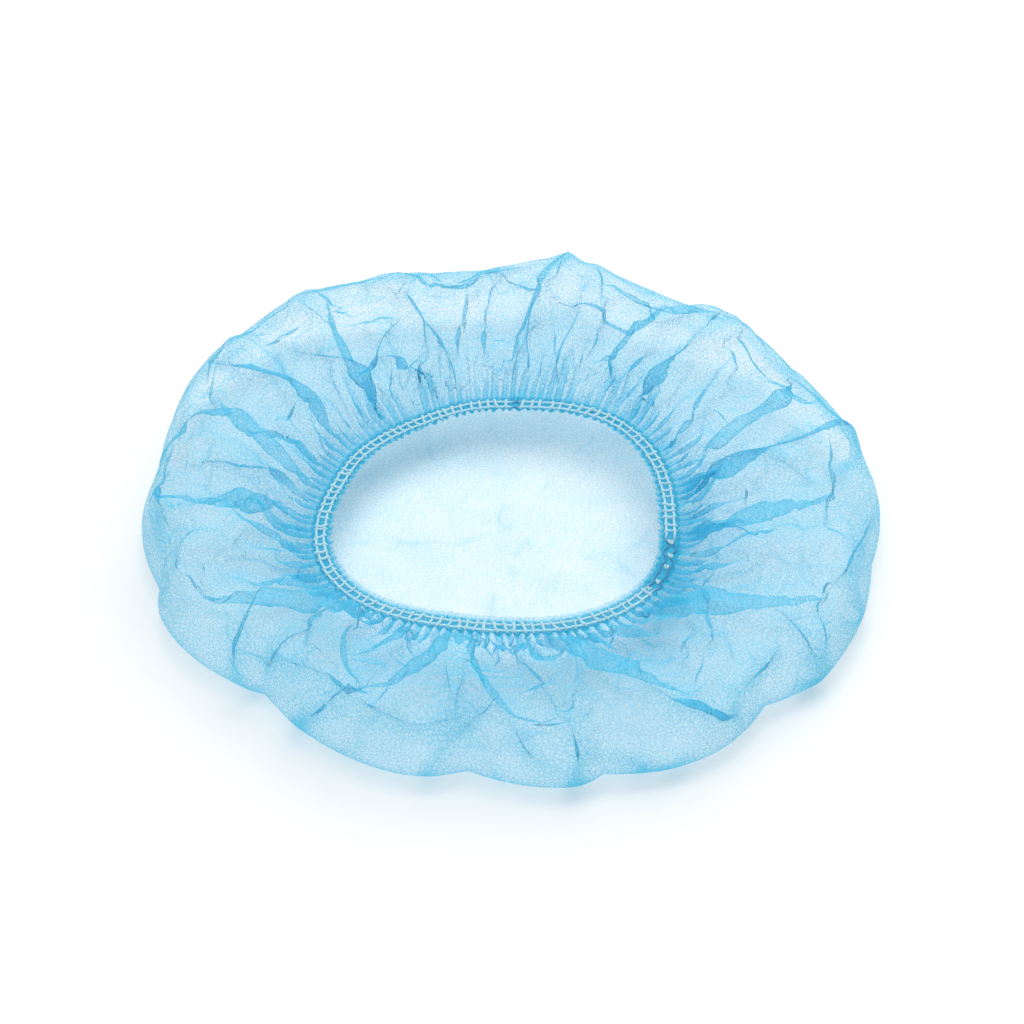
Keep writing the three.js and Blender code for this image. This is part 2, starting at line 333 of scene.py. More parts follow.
def beside(line, plan, reach=25):
    ahead = np.gradient(line, axis=0)
    step = np.linalg.norm(ahead, axis=1)
    ahead = ahead / step[:, None]
    across = np.stack([-ahead[:, 1], ahead[:, 0]], 1)
    close = ((plan > line.min(0) - reach) & (plan < line.max(0) + reach)).all(-1)
    gap = plan[close][:, None] - line
    nearest = (gap**2).sum(-1).argmin(1)
    gap = gap[np.arange(len(gap)), nearest]
    aside, along = np.full(plan.shape[:2], float(reach)), np.zeros(plan.shape[:2])
    sideways = np.zeros(plan.shape[:2] + (2,))
    aside[close] = (gap * across[nearest]).sum(-1)
    along[close] = (nearest + (gap * ahead[nearest]).sum(-1) / step[nearest]) / (len(line) - 1)
    sideways[close] = across[nearest]
    return aside, np.clip(along, 0, 1), sideways


# %% Lay the folds
# The plan of the sheet with its outer wall laid out flat, so that folds can be followed over the rim.
def unrolled(bare, at):
    plan = bare[..., :2].copy()
    first = np.searchsorted(at, RIM_PLACE)
    down = np.cumsum(lengths(bare, 1, 0)[:first][::-1], 0)[::-1]
    outward = plan[first] - plan[np.searchsorted(at, BAND_START)]
    outward /= np.linalg.norm(outward, axis=-1, keepdims=True)
    plan[:first] = plan[first] + down[..., None] * outward
    return plan


# How much of a fold is left along it: it dies away at an end unless that end meets the seam or the floor.
def strength(along, way):
    begins = 0.5 if way[0][1] <= 0.12 else 0
    ends = 0.5 if way[-1][1] >= 1.2 else 1
    return np.sin(np.pi * (begins + (ends - begins) * along)) if begins < ends else np.ones_like(along)


# Folds are shallow on the outer wall and gone where the cap rests on the floor.
def down_the_wall(at):
    return ramp(at, 4.8, 6.5) * (0.12 + 0.88 * ramp(at, 7.2, 9.2))


def fold_lines():
    for overlap, height, way in FOLDS:
        yield overlap, height, way, smooth_line([top_point(*place) for place in way])


def ridges(plan, at):
    rise = np.zeros(plan.shape[:2])
    for _, height, way, line in fold_lines():
        aside, along, _ = beside(line, plan)
        rise += RIDGE * height * strength(along, way) ** 0.5 * np.exp(-(aside / RIDGE_WIDTH) ** 2)
    return rise * (down_the_wall(at) * (1 - ramp(at, BAND_START - 2.5, BAND_START - 0.5)))[:, None]


def unit(vectors):
    return vectors / np.maximum(np.linalg.norm(vectors, axis=-1, keepdims=True), 1e-9)


def lay_tucks(sheet, bare, at):
    out = normals(bare)
    outward = unit(-np.gradient(bare, axis=0))
    around = unit(np.roll(bare, -1, 1) - np.roll(bare, 1, 1))
    plan = unrolled(bare, at)
    ray = unit(plan - np.array(OPENING_MIDDLE))
    moved = np.zeros_like(sheet)
    for index, (overlap, _, way, line) in enumerate(fold_lines()):
        aside, along, sideways = beside(line, plan)
        fade = strength(along, way) ** 0.6 * (down_the_wall(at) * (1 - ramp(at, 14.2, 15.8)))[:, None]
        away = (sideways * ray).sum(-1, keepdims=True)
        turning = (sideways[..., 1] * ray[..., 0] - sideways[..., 0] * ray[..., 1])[..., None]
        across = away * outward + turning * around
        overlap *= TUCKED
        reach = 2.5 + 0.6 * overlap
        pinch = 2 + (overlap / reach - 0.57) / 0.77
        near = np.exp(-(aside / reach) ** 2)
        over = (-1) ** index * LIP * aside / reach * np.exp(0.5 - (aside / reach) ** 2 / 2)
        moved += (-pinch * fade * aside * near)[..., None] * across + (over * fade)[..., None] * out
    return sheet + moved


# The far rim is drawn taut between its corners.
def taut(sheet, bare, at):
    far = np.clip(bare[..., 1] / 120, 0, 1)
    left = 1 - TAUT * far * np.exp(-((at[:, None] - 9.3) / 1.6) ** 2)
    return bare + (sheet - bare) * left[..., None]


# %% [markdown]
# ## Gathers and ruffle
# Along the seam the cloth is drawn up into more than a hundred little pleats, one to each stitch or so.
# They are a wave that runs round the band, uneven as hand-fed cloth is: low where the stitches hold
# it down, taller outside the band and tallest at the free edge of the ruffle, where every pleat ends
# in a point of its own. Outside the band, some pleats run out over the top further than others.

# %% Pleats along the seam
PLEATS = 118
PLEAT_HEIGHTS = [  # place among the sections, height of the wave (mm)
    (13.0, 0.0), (14.5, 0.5), (16.0, 0.9), (16.6, 1.0), (17.0, 0.4), (18.0, 0.3), (19.0, 0.4),
    (19.4, 0.8), (20.0, 1.35),
]
RUFFLE_POINTS = 1.1
seam_rng = np.random.default_rng(3)
pleat_drift = seam_rng.normal(size=PLEATS) * 0.17
pleat_size = 1 + 0.3 * seam_rng.uniform(-1, 1, size=PLEATS)
streak_starts = seam_rng.uniform(13.6, 16.0, size=PLEATS)


def round_the_seam(values, columns):
    at = np.arange(columns) / columns * PLEATS
    return np.interp(at, np.arange(PLEATS + 1), np.append(values, values[0]))


def pleat_wave(columns):
    at = np.arange(columns) / columns * PLEATS
    return np.sin(2 * np.pi * (at + round_the_seam(pleat_drift, columns)))


def pleated(bare, at, columns):
    wave, size = pleat_wave(columns), round_the_seam(pleat_size, columns)
    streak = round_the_seam(streak_starts, columns)
    heights = np.interp(at, *np.array(PLEAT_HEIGHTS).T)[:, None]
    heights = heights * ramp(at[:, None], streak - 1, streak + 0.8)
    bearings = np.radians(np.arange(columns) * 360 / columns)
    ray = np.stack([np.cos(bearings), np.sin(bearings), np.zeros(columns)], 1)
    inward = np.clip(at - 19, 0, 1)[:, None] * (0.5 + 0.5 * wave) * size * RUFFLE_POINTS
    return bare + normals(bare) * (heights * wave * size)[..., None] - inward[..., None] * ray


# %% [markdown]
# ## Letting the cloth buckle
# The disc was cut far wider than the ring that it is now squeezed into, so the cloth has to buckle. Each
# row of the grid is given a good half of the spare length that it had on the flat disc. Some eight
# hundred rounds of pulling and pushing every thread towards its length make the folds, first on a
# coarse grid for the broad ones, then on finer grids for the gathers. Given all of it, the chance folds
# drown the laid ones, so what is held back is counted instead as layers of cloth bunched at each point.

# %% Measuring the sheet
CUT_RADIUS = 266.5
FULLNESS = 0.62
MOST_FULL = 1.9
SLACK = 1.015
BAND_START = 17
rng = np.random.default_rng(7)


def lengths(sheet, rows_on, columns_on):
    other = sheet[rows_on:] if columns_on == 0 else np.roll(sheet, -columns_on, 1)[rows_on:]
    first = sheet[:len(sheet) - rows_on] if rows_on else sheet
    return np.linalg.norm(other - first, axis=-1)


def normals(sheet):
    around = np.roll(sheet, -1, 1) - np.roll(sheet, 1, 1)
    along = np.gradient(sheet, axis=0)
    return unit(np.cross(around, along))


def flat_radius(sheet):
    steps = lengths(sheet, 1, 0).mean(1)
    way = np.concatenate([[0], np.cumsum(steps)])
    return way * CUT_RADIUS / way[-1]


# %% One round after another of pulling the threads to length
def pull(sheet, rest, rows_on, columns_on, move, count):
    other = np.roll(sheet, -columns_on, 1) if columns_on else sheet
    here = sheet[:len(sheet) - rows_on] if rows_on else sheet
    other = other[rows_on:]
    gap = other - here
    size = np.maximum(np.linalg.norm(gap, axis=-1), 1e-6)
    fix = (0.5 * (1 - rest / size))[..., None] * gap
    move[:len(sheet) - rows_on or None] += fix
    move[rows_on:] -= np.roll(fix, columns_on, 1) if columns_on else fix
    count[:len(sheet) - rows_on or None] += 1
    count[rows_on:] += 1


def buckle(sheet, bare, free, extra, rounds, hold, bend):
    around = lengths(bare, 0, 1) * extra[:, None]
    along = lengths(bare, 1, 0) * SLACK
    wide = (around[1:] + around[:-1]) / 2
    slant = np.sqrt(wide**2 + along**2)
    for _ in range(rounds):
        move = np.zeros_like(sheet)
        count = np.zeros((len(sheet), 1, 1))
        pull(sheet, around, 0, 1, move, count)
        pull(sheet, along, 1, 0, move, count)
        pull(sheet, slant, 1, 1, move, count)
        pull(sheet, slant, 1, -1, move, count)
        move *= 1.6 / count
        smooth = np.roll(sheet, 1, 1) + np.roll(sheet, -1, 1) - 2 * sheet
        move -= bend * (np.roll(smooth, 1, 1) + np.roll(smooth, -1, 1) - 2 * smooth)
        move += hold[:, None, None] * (bare - sheet)
        sheet = sheet + free[:, None, None] * move
        sheet[..., 2] = np.maximum(sheet[..., 2], 0.3)
    return sheet


def finer(field, old_places, new_places, doubled):
    index = np.clip(np.searchsorted(old_places, new_places, side="right") - 1, 0, len(old_places) - 2)
    part = (new_places - old_places[index]) / (old_places[index + 1] - old_places[index])
    field = field[index] * (1 - part)[:, None, None] + field[index + 1] * part[:, None, None]
    if not doubled:
        return field
    before, after, later = np.roll(field, 1, 1), np.roll(field, -1, 1), np.roll(field, -2, 1)
    between = (9 * (field + after) - before - later) / 16
    return np.stack([field, between], 2).reshape(len(field), -1, 3)


# %% From coarse folds to fine gathers
LEVELS = [  # columns, rows coarser by, rounds, bending, share where it starts and is full, noise (mm)
    (90, 4, 250, 0.03, 0.3, 0.7, 0.9),
    (180, 4, 250, 0.03, 0.16, 0.45, 0.5),
    (360, 2, 200, 0.02, 0.08, 0.25, 0.3),
    (720, 1, 120, 0.01, 0.0, 0.12, 0.15),
]
SINK = 1.6


def top_rows(at):
    return (ramp(at, 6.8, 8.5) * (1 - ramp(at, BAND_START - 1.2, BAND_START - 0.1)))[:, None]


def buckled_sheet():
    field, old, last_columns = None, None, None
    for columns, coarser, rounds, bend, starts, full, noise in LEVELS:
        at = row_places(coarser)
        bare = bare_sheet(at, columns)
        bare += normals(bare) * (ridges(unrolled(bare, at), at) - SINK * top_rows(at))[..., None]
        rows = rows_at(at)
        share = np.where(rows[:, 1] > 0.001, rows[:, 0], 1.05)
        radius = flat_radius(bare)
        needed = 2 * np.pi * radius / np.maximum(lengths(bare, 0, 1).sum(1), 1e-6)
        if columns == COLUMNS:
            bare = pleated(bare, at, columns)
        free = ramp(at, 4.5, 6.5) * (1 - ramp(at, BAND_START - 0.9, BAND_START))
        wanted = np.minimum(1 + FULLNESS * np.maximum(needed - 1, 0), MOST_FULL)
        at_rim = ramp(at, 7.5, 10.5)
        extra = 1 + (wanted - 1) * ramp(share, starts, full) * (0.25 + 0.75 * at_rim)
        start = bare.copy() if field is None else bare + finer(field, old, at, columns != last_columns)
        grain = rng.normal(size=bare.shape[:2])
        shaken = free if columns == LEVELS[0][0] else free * (1 - ramp(share, full, full + 0.25))
        start += normals(start) * (noise * grain * shaken[:, None])[..., None]
        hold = 0.003 + 0.03 * (1 - at_rim)
        sheet = buckle(start, bare, free, extra, rounds, hold, bend)
        field, old, last_columns = sheet - bare, at, columns
        have = lengths(sheet, 0, 1).sum(1) / np.maximum(lengths(bare_sheet(at, columns), 0, 1).sum(1), 1e-6)
        print(columns, "columns: fullness", have[::max(1, len(at) // 12)].round(2))
    return sheet, needed / np.maximum(have, 1)


def area(sheet):
    a = np.roll(sheet, -1, 1)[:-1] - sheet[1:]
    b = np.roll(sheet, -1, 1)[1:] - sheet[:-1]
    return np.linalg.norm(np.cross(a, b), axis=-1).sum() / 2 / 1e6


bare = bare_sheet(places, COLUMNS)
sheet, unseen = buckled_sheet()
sheet = taut(lay_tucks(sheet, bare, places), bare, places)
print("sheet, mm:", sheet.min((0, 1)).round(1), sheet.max((0, 1)).round(1), "area", area(sheet).round(4))
print("hem's edge, mm:", lengths(sheet, 0, 1)[-1].sum().round(0))

# %% [markdown]
# ## The crown on the floor
# The crown lies flat inside the ring, one layer thin, and keeps a few soft creases from being packed.

# %% Creases in the crown
CROWN_CREASES = [  # height, width (mm), then the crease's way as x and y (mm)
    (1.6, 4, [(-8, -24), (9, -25), (20, -29), (34, -37)]),
    (1.2, 6, [(-54, 8), (-42, -6), (-29, -18), (-31, -37)]),
    (1.3, 6, [(40, -36), (44, -20), (50, 0)]),
    (1.0, 5, [(33, 0), (35, -12), (37, -28)]),
    (1.0, 7, [(-2, 14), (0, -4), (-5, -18)]),
    (0.9, 8, [(-34, 44), (-14, 36), (4, 41)]),
]


def crease_crown(sheet):
    plan = sheet[..., :2]
    x, y = plan[..., 0], plan[..., 1]
    rise = np.zeros(plan.shape[:2])
    for height, width, way in CROWN_CREASES:
        aside, along, _ = beside(smooth_line(way), plan)
        rise += height * np.sin(np.pi * along) ** 0.8 * np.exp(-(aside / width * 1.6) ** 2)
    rise += 0.35 + 0.35 * np.sin(x / 9 + 2 * np.sin(y / 17)) * np.sin(y / 7 + 2 * np.sin(x / 13))
    creased = sheet.copy()
    creased[..., 2] += rise * (1 - ramp(places, 5.2, 6.4))[:, None]
    return creased


sheet = crease_crown(sheet)
print("highest crease in the crown, mm:", sheet[places < 5, :, 2].max().round(2))

# %% [markdown]
# ## Build the cap's mesh
# The grid becomes one mesh, and carries two things for its material: where each point lay on the flat
# disc, so that the fibres are squeezed together wherever the cloth is, and how many layers of cloth
# are bunched there in pleats finer than the grid. That count also carries painted shade, added as
# extra layers along the folds, in the pleat valleys and in the band between the elastic threads.

# %% Bunching and painted shade
JOIN_BEARINGS = (324, 347)
BACK_KNOT = 83
# The band counts as eleven layers: partly the cloth gathered densely under the stitches, partly painted
# shade between the elastic threads.
BAND_LAYERS_AND_SHADE = 11
RUFFLE_LAYERS = 1.7
# Painted shade just inside the inner elastic: dark dashes between the stitches, in the pleat valleys,
# partly cloth bunched there.
DASH_SHADE_LAYERS = 5  # added between stitches at the band's inner edge
# Near the seam the cloth counts as more layers, most in the pleat valleys: partly bunched cloth, partly
# painted shade in the valleys.
STREAK_LAYERS_AND_SHADE = 0.9
JOIN_LAYERS = 0.8
# Darker bands beside the folds, counted as crumpled cloth: partly real, partly painted shade, stronger on
# the outer wall.
WALL_CRUMPLE_AND_SHADE = 1.8
MOST_CRUMPLE_AND_SHADE = 2.2
CROWN_THINNER = 0.72


def join_strength(bearings):
    turned = np.asarray(bearings, float) % 360
    low, high = JOIN_BEARINGS
    at_join = ramp(turned, low - 3, low + 3) * (1 - ramp(turned, high - 2, high + 3))
    return np.maximum(at_join, np.exp(-((turned - BACK_KNOT) / 1.4) ** 2))


# Beside a fold the cloth is also crumpled, which counts as more layers and fades in and out softly. These
# darker bands are partly crumpled cloth and partly painted shade along the folds, made stronger on the
# outer wall; the crown's creases get a fainter line of the same.
def crumples_and_fold_shade():
    plan = unrolled(bare, places)
    more = np.zeros(plan.shape[:2])
    for overlap, _, way, line in fold_lines():
        aside, along, _ = beside(line, plan)
        width = 2.2 + 0.6 * overlap
        more += (0.25 + 0.13 * overlap) * strength(along, way) ** 0.6 * np.exp(-(aside / width) ** 2)
    on_the_wall = 1 - ramp(places, 8.2, 10.8)
    wall = 1 + WALL_CRUMPLE_AND_SHADE * on_the_wall
    more *= (wall * ramp(places, 4.8, 6.0) * (1 - ramp(places, 16.0, 16.8)))[:, None]
    # A faint darker line along each crease of the crown, partly painted shade.
    for height, width, way in CROWN_CREASES:
        aside, along, _ = beside(smooth_line(way), sheet[..., :2])
        crease = 0.3 * height * np.sin(np.pi * along) ** 0.7 * np.exp(-(aside / width) ** 2)
        more += crease * (1 - ramp(places, 4.6, 5.2))[:, None]
    return 1 + np.minimum(more, MOST_CRUMPLE_AND_SHADE)


def bunching_and_shade():
    columns = np.arange(COLUMNS) * 360 / COLUMNS
    layers_and_shade = np.clip(unseen, 1, 4)[:, None] * crumples_and_fold_shade()
    layers_and_shade *= (CROWN_THINNER + (1 - CROWN_THINNER) * ramp(places, 4.5, 6.5))[:, None]
    band = (ramp(places, 16.7, 17.0) * (1 - ramp(places, 19.1, 19.5)))[:, None]
    ruffle = ramp(places, 19.3, 19.8)[:, None]
    wave = pleat_wave(COLUMNS)
    layers_and_shade = layers_and_shade * (1 - ruffle) + RUFFLE_LAYERS * ruffle
    # In the band the count is set high, which is partly painted shade between the elastic threads.
    layers_and_shade = layers_and_shade * (1 - band) + BAND_LAYERS_AND_SHADE * band
    # Dark dashes between the stitches at the band's inner edge: painted shade under the inner elastic,
    # partly cloth bunched in the pleat valleys.
    layers_and_shade += DASH_SHADE_LAYERS * np.exp(-((places - 19.25) / 0.3) ** 2)[:, None] * (0.5 - 0.5 * wave)
    # Near the seam, extra layers that peak in the pleat valleys: partly bunched cloth, partly painted shade
    # in the valleys.
    streak = round_the_seam(streak_starts, COLUMNS)
    near_seam = ramp(places[:, None], streak, streak + 1.6) * (1 - ramp(places, 16.9, 17.3))[:, None]
    layers_and_shade = layers_and_shade * (1 + near_seam * (STREAK_LAYERS_AND_SHADE - STREAK_LAYERS_AND_SHADE * wave))
    layers_and_shade = layers_and_shade * (1 + JOIN_LAYERS * join_strength(columns) * ramp(places, 16.0, 17.0)[:, None])
    return layers_and_shade


layers_and_shade = bunching_and_shade()
print("layers bunched, least and most:", layers_and_shade.min().round(2), layers_and_shade.max().round(2))


# %% Mesh
def flat_places():
    radius = flat_radius(bare)
    turn = np.radians(np.arange(COLUMNS) * 360 / COLUMNS)
    return np.stack([radius[:, None] * np.cos(turn), radius[:, None] * np.sin(turn),
                     np.zeros((len(radius), COLUMNS))], -1)


def over_the_grid(values):
    return np.vstack([values[1:].reshape(-1, values.shape[-1]), values[0].mean(0)])


def cloth_mesh(sheet):
    count = len(sheet)
    points = over_the_grid(sheet) * MM
    row, column = np.meshgrid(np.arange(count - 2), np.arange(COLUMNS), indexing="ij")
    after = (column + 1) % COLUMNS
    quads = np.stack([row * COLUMNS + column, row * COLUMNS + after,
                      (row + 1) * COLUMNS + after, (row + 1) * COLUMNS + column], -1)
    faces = quads.reshape(-1, 4).tolist()
    ring = np.arange(COLUMNS)
    faces += np.stack([np.full(COLUMNS, len(points) - 1), (ring + 1) % COLUMNS, ring], 1).tolist()
    mesh = bpy.data.meshes.new("cap")
    mesh.from_pydata(points.tolist(), [], faces)
    mesh.shade_smooth()
    flat = mesh.attributes.new("flat", "FLOAT_VECTOR", "POINT")
    flat.data.foreach_set("vector", over_the_grid(flat_places() * MM).ravel())
    thick = mesh.attributes.new("layers_and_shade", "FLOAT", "POINT")
    thick.data.foreach_set("value", over_the_grid(layers_and_shade[..., None]).ravel())
    return mesh


def new_piece(name, mesh, node=None):
    piece = bpy.data.objects.new(name, mesh)
    scene.collection.objects.link(piece)
    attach(piece, "root")
    if node:
        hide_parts(node)
    return piece


cap = new_piece("cap", cloth_mesh(sheet), "cap_cloth")

# %% [markdown]
# ## Elastic threads
# Two fine rubber threads, each wound with yarn, run round the opening 3 mm apart. They could be plain
# curves with a round bevel, but a tube built step by step can swell and shrink as the winding goes
# round it, and wander a little as a sewn thread does.

# %% Tubes along a line
ELASTIC_HEIGHT = 18.65
ELASTIC_SPACING = 3.0


def seam_point(bearings, out, up):
    turn = np.radians(bearings)
    reach = opening_reach(np.asarray(bearings, float)) + out
    return np.stack([OPENING_MIDDLE[0] + reach * np.cos(turn), OPENING_MIDDLE[1] + reach * np.sin(turn),
                     np.zeros_like(reach) + up], -1)


def tube(path, radius, closed):
    ahead = np.roll(path, -1, 0) - np.roll(path, 1, 0) if closed else np.gradient(path, axis=0)
    side = np.cross(ahead, [0, 0, 1.0])
    side /= np.linalg.norm(side, axis=1, keepdims=True)
    up = np.cross(side, ahead)
    up /= np.linalg.norm(up, axis=1, keepdims=True)
    sides = radius.shape[1]
    turn = np.arange(sides) * 2 * np.pi / sides
    ring = np.cos(turn)[None, :, None] * side[:, None] + np.sin(turn)[None, :, None] * up[:, None]
    points = path[:, None] + radius[..., None] * ring
    steps = len(path) if closed else len(path) - 1
    row, column = np.meshgrid(np.arange(steps), np.arange(sides), indexing="ij")
    row_on, column_on = (row + 1) % len(path), (column + 1) % sides
    faces = np.stack([row * sides + column, row * sides + column_on,
                      row_on * sides + column_on, row_on * sides + column], -1).reshape(-1, 4).tolist()
    if not closed:
        faces += [list(range(sides))[::-1], [(len(path) - 1) * sides + k for k in range(sides)]]
    return points.reshape(-1, 3), faces


def thread_mesh(name, tubes, buried):
    points, faces, hidden = [], [], []
    for (tube_points, tube_faces), amount in zip(tubes, buried):
        start = sum(len(p) for p in points)
        points.append(tube_points)
        faces += [[start + corner for corner in face] for face in tube_faces]
        hidden.append(np.broadcast_to(amount, len(tube_points)))
    mesh = bpy.data.meshes.new(name)
    mesh.from_pydata((np.vstack(points) * MM).tolist(), [], faces)
    mesh.shade_smooth()
    mesh.attributes.new("buried", "FLOAT", "POINT").data.foreach_set("value", np.concatenate(hidden))
    return mesh


# %% Elastics
ELASTIC_RADIUS = 0.42
ELASTIC_STEPS = 1150
ELASTIC_SIDES = 10
WINDINGS = 290
thread_rng = np.random.default_rng(11)


# A smooth uneven wobble round the seam, between -1 and 1.
def wobble(bearings, waves):
    total = np.zeros_like(bearings)
    for wave in waves:
        total += np.sin(np.radians(bearings) * wave + thread_rng.uniform(0, 2 * np.pi)) / len(waves)
    return total


def elastic(out):
    bearings = np.arange(ELASTIC_STEPS) * 360 / ELASTIC_STEPS
    loose = join_strength(bearings)
    wander = 0.25 * wobble(bearings, (17, 31, 53, 88)) + 0.9 * loose * wobble(bearings, (44, 61))
    dip = 0.12 * wobble(bearings, (59, 83, 118)) - 0.45 * loose
    path = seam_point(bearings, out + wander, ELASTIC_HEIGHT + dip)
    turn = np.arange(ELASTIC_SIDES) * 2 * np.pi / ELASTIC_SIDES
    winding = np.cos(turn[None, :] - np.radians(bearings * WINDINGS)[:, None])
    radius = ELASTIC_RADIUS * (1 + 0.12 * winding) * np.ones((ELASTIC_STEPS, 1))
    return tube(path, radius, closed=True), np.repeat(loose, ELASTIC_SIDES)


elastics = []
for name, node, out in (("inner_elastic_thread", "elastic_inner", 0),
                        ("outer_elastic_thread", "elastic_outer", ELASTIC_SPACING)):
    thread, buried = elastic(out)
    elastics.append(new_piece(name, thread_mesh(name, [thread], [buried]), node))
    print(name, len(elastics[-1].data.polygons), "faces")

# %% [markdown]
# ## Stitches
# The sewing thread hooks round one elastic, crosses the band and hooks round the other, like the rungs
# of a ladder, no two quite alike. Where the seam began and ended, the machine ran over itself and
# left a few knots.

# %% Stitches and knots
STITCHES = 112
STITCH_RADIUS = 0.46
STITCH_SHAPE = [  # mm out from the inner elastic, mm above the elastics' middle
    (-0.72, -0.45), (-0.62, 0.2), (-0.1, 0.58), (0.6, 0.4), (1.5, 0.12), (2.4, 0.4), (3.1, 0.58),
    (3.62, 0.2), (3.72, -0.45),
]
KNOT_THREAD_RADIUS = 0.3
KNOTS = [  # bearing, mm out, size (mm)
    (345.5, 1.4, 0.85), (339.5, 1.9, 0.8), (334.5, 1.7, 0.75), (327.5, 1.8, 0.7), (323.5, 1.2, 0.6),
]


def stitch(bearing):
    shape = smooth_line(STITCH_SHAPE, 15)
    lean = thread_rng.normal() * 0.45
    tilt = thread_rng.normal() * 0.25
    along = np.linspace(-lean, lean, len(shape)) + tilt * np.sin(np.linspace(0, np.pi, len(shape)))
    out = shape[:, 0] + thread_rng.normal() * 0.12
    path = seam_point(bearing + along, out, ELASTIC_HEIGHT + shape[:, 1])
    thick = STITCH_RADIUS * thread_rng.uniform(0.8, 1.25)
    return tube(path, np.full((len(path), 8), thick), closed=False)


# A knot is a short length of thread wound tightly about itself.
def knot(bearing, out, size):
    t = np.linspace(0, 1, 26)
    swing = 2 * np.pi * 2.3 * t + thread_rng.uniform(0, 6)
    path = seam_point(bearing + 0.75 * size * np.cos(swing) + 0.3 * (t - 0.5),
                      out + size * np.sin(swing * 0.7),
                      ELASTIC_HEIGHT + 0.3 + 0.25 * np.sin(swing * 1.3))
    return tube(path, np.full((len(path), 8), KNOT_THREAD_RADIUS), closed=False)


def stitches():
    tubes, buried = [], []
    for index in range(STITCHES):
        bearing = (index + thread_rng.uniform(-0.18, 0.18)) * 360 / STITCHES
        if join_strength(bearing) < 0.5:
            tubes.append(stitch(bearing))
            buried.append(0.0)
    for place in KNOTS:
        tubes.append(knot(*place))
        buried.append(0.0)
    return thread_mesh("stitches", tubes, buried)


sewing = new_piece("stitches", stitches())
print("stitches:", len(sewing.data.polygons), "faces")

# %% [markdown]
# ## Nonwoven cloth
# Spun fibres are laid at random, then melted together in spots, so a single layer is mostly gaps. Two
# ways offer themselves: model the fibres, which would take millions, or let a web of noise say how much
# fibre lies at each spot and turn that into see-through. The second is used. The web lies on the flat
# disc, and what a ray meets grows with the layers bunched there, painted shade counted among them, and
# with how edge-on it meets the cloth.
# A wide faint web over it, broken up by clouds, stands for the creases that packing leaves.

# %% Node helpers
def start_material(name):
    material = bpy.data.materials.new(name)
    material.use_nodes = True
    material.node_tree.nodes.clear()
    return material


def adder(material):
    tree = material.node_tree

    def add(kind, inputs, **settings):
        node = tree.nodes.new(kind)
        for key, value in settings.items():
            setattr(node, key, value)
        for key, value in inputs.items():
            if isinstance(value, bpy.types.NodeSocket):
                tree.links.new(value, node.inputs[key])
            else:
                node.inputs[key].default_value = value
        return node

    def sum_up(operation, *values):
        return add("ShaderNodeMath", dict(enumerate(values)), operation=operation).outputs[0]

    return add, sum_up


# %% Cloth material
DEEP_BLUE = (0.05, 0.64, 0.90, 1)
PALE_BLUE = (0.64, 0.90, 0.97, 1)
# Darker teal for densely bunched cloth: partly its depth, partly painted shade, most of all in the band
# between the elastic threads.
DEEP_AND_SHADED_TEAL = (0.0, 0.38, 0.60, 1)
THROUGH_BLUE = (0.08, 0.60, 0.82, 1)
GATHER_TINT = (0.5, 0.86, 0.97, 1)
BARE_TRANSMISSION = 0.84
WEB_SCALE = 520
FIBRE_SCALE = 2300
STRAY_SCALE = 420
STRAY_REACH = (0.0016, 0.0016, 0.0016)
CLOUD_SCALE = 70
PACKING_SCALE = 17
PACKING_WANDER = (0.02, 0.02, 0.02)
PACKING_WEIGHT = 0.7
THROUGH_SHARE = 0.45


# Creases from being packed wander a few millimetres off straight.
def packing_wander(add, flat):
    slow = add("ShaderNodeTexNoise", {"Vector": flat, "Scale": 45, "Detail": 1}, noise_dimensions="2D")
    return add("ShaderNodeVectorMath", {0: slow.outputs["Color"], 1: PACKING_WANDER},
               operation="MULTIPLY").outputs[0]


